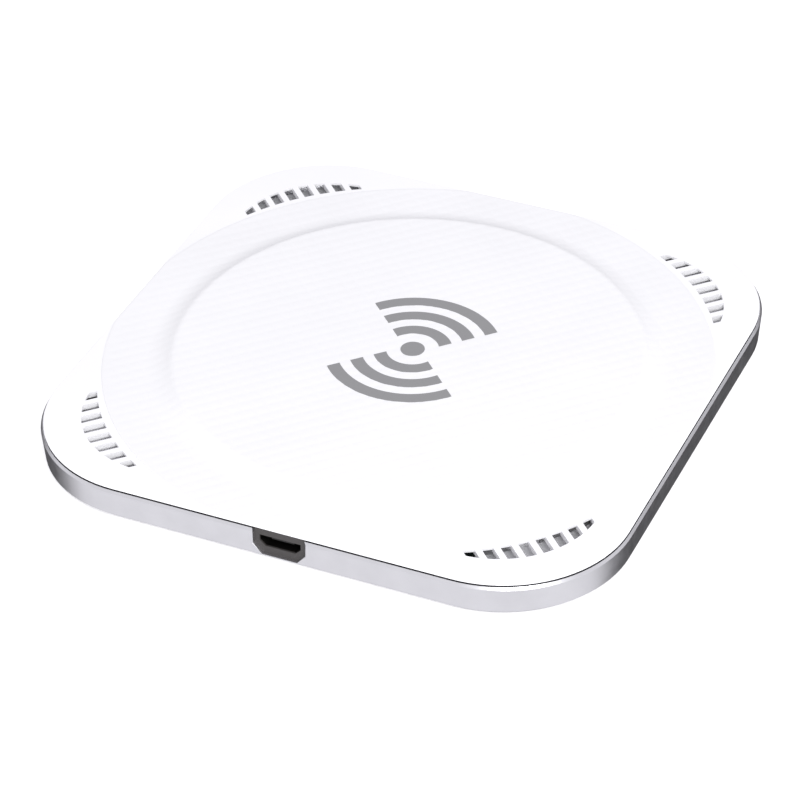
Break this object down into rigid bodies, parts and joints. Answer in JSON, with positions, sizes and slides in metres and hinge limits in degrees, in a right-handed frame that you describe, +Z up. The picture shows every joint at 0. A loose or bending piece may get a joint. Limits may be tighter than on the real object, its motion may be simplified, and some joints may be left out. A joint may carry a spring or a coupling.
{
  "type": "wireless charging pad",
  "caption": "Flat square wireless charging pad with rounded corners, a white top with a raised textured charging disc and vented corners, and a slim aluminium side frame",
  "frame": {"origin": "centre of the pad in plan, at the height of the surface that its feet stand on", "axes": "+Z up out of the charging surface, -Y towards the side with the power inlet, +X to the right when looking from the inlet side"},
  "size_m": [0.1, 0.1, 0.008],
  "materials": {
    "cover_white": "matte",
    "skin_white": "matte",
    "mark_grey": "matte",
    "frame_aluminium": "satin",
    "gasket_foam": "matte",
    "base_white": "matte",
    "foot_rubber": "matte",
    "label_silver": "satin",
    "screw_steel": "satin",
    "coil_copper": "satin",
    "ferrite_black": "matte",
    "tape_amber": "gloss",
    "carrier_black": "matte",
    "board_black": "satin",
    "socket_steel": "satin",
    "insulator_black": "matte",
    "contact_gold": "polished",
    "chip_black": "matte",
    "capacitor_tan": "satin",
    "resistor_black": "gloss",
    "led_lens": "gloss",
    "solder_tin": "satin",
    "thermal_pad_grey": "matte"
  },
  "bodies": {
    "root": {"top_cover": "cover_white", "top_skin": "skin_white", "signal_mark": "mark_grey", "side_frame": "frame_aluminium", "cover_gasket": "gasket_foam", "inlet_bezel": "insulator_black", "bottom_cover": "base_white", "rating_label": "label_silver", "foot_front_left": "foot_rubber", "foot_front_right": "foot_rubber", "foot_rear_left": "foot_rubber", "foot_rear_right": "foot_rubber", "cover_screws": "screw_steel", "coil_winding": "coil_copper", "coil_inner_lead": "coil_copper", "coil_outer_lead": "coil_copper", "coil_tape": "tape_amber", "ferrite_shield": "ferrite_black", "ferrite_tape": "tape_amber", "coil_carrier": "carrier_black", "carrier_screws": "screw_steel", "thermistor": "insulator_black", "circuit_board": "board_black", "board_screws": "screw_steel", "socket_shell": "socket_steel", "socket_tongue": "insulator_black", "socket_contacts": "contact_gold", "controller_chip": "chip_black", "power_mosfets": "chip_black", "resonant_capacitors": "capacitor_tan", "power_inductor": "chip_black", "ceramic_capacitors": "capacitor_tan", "chip_resistors": "resistor_black", "status_leds": "led_lens", "solder_joints": "solder_tin", "thermal_pad": "thermal_pad_grey"}
  },
  "joints": []
}
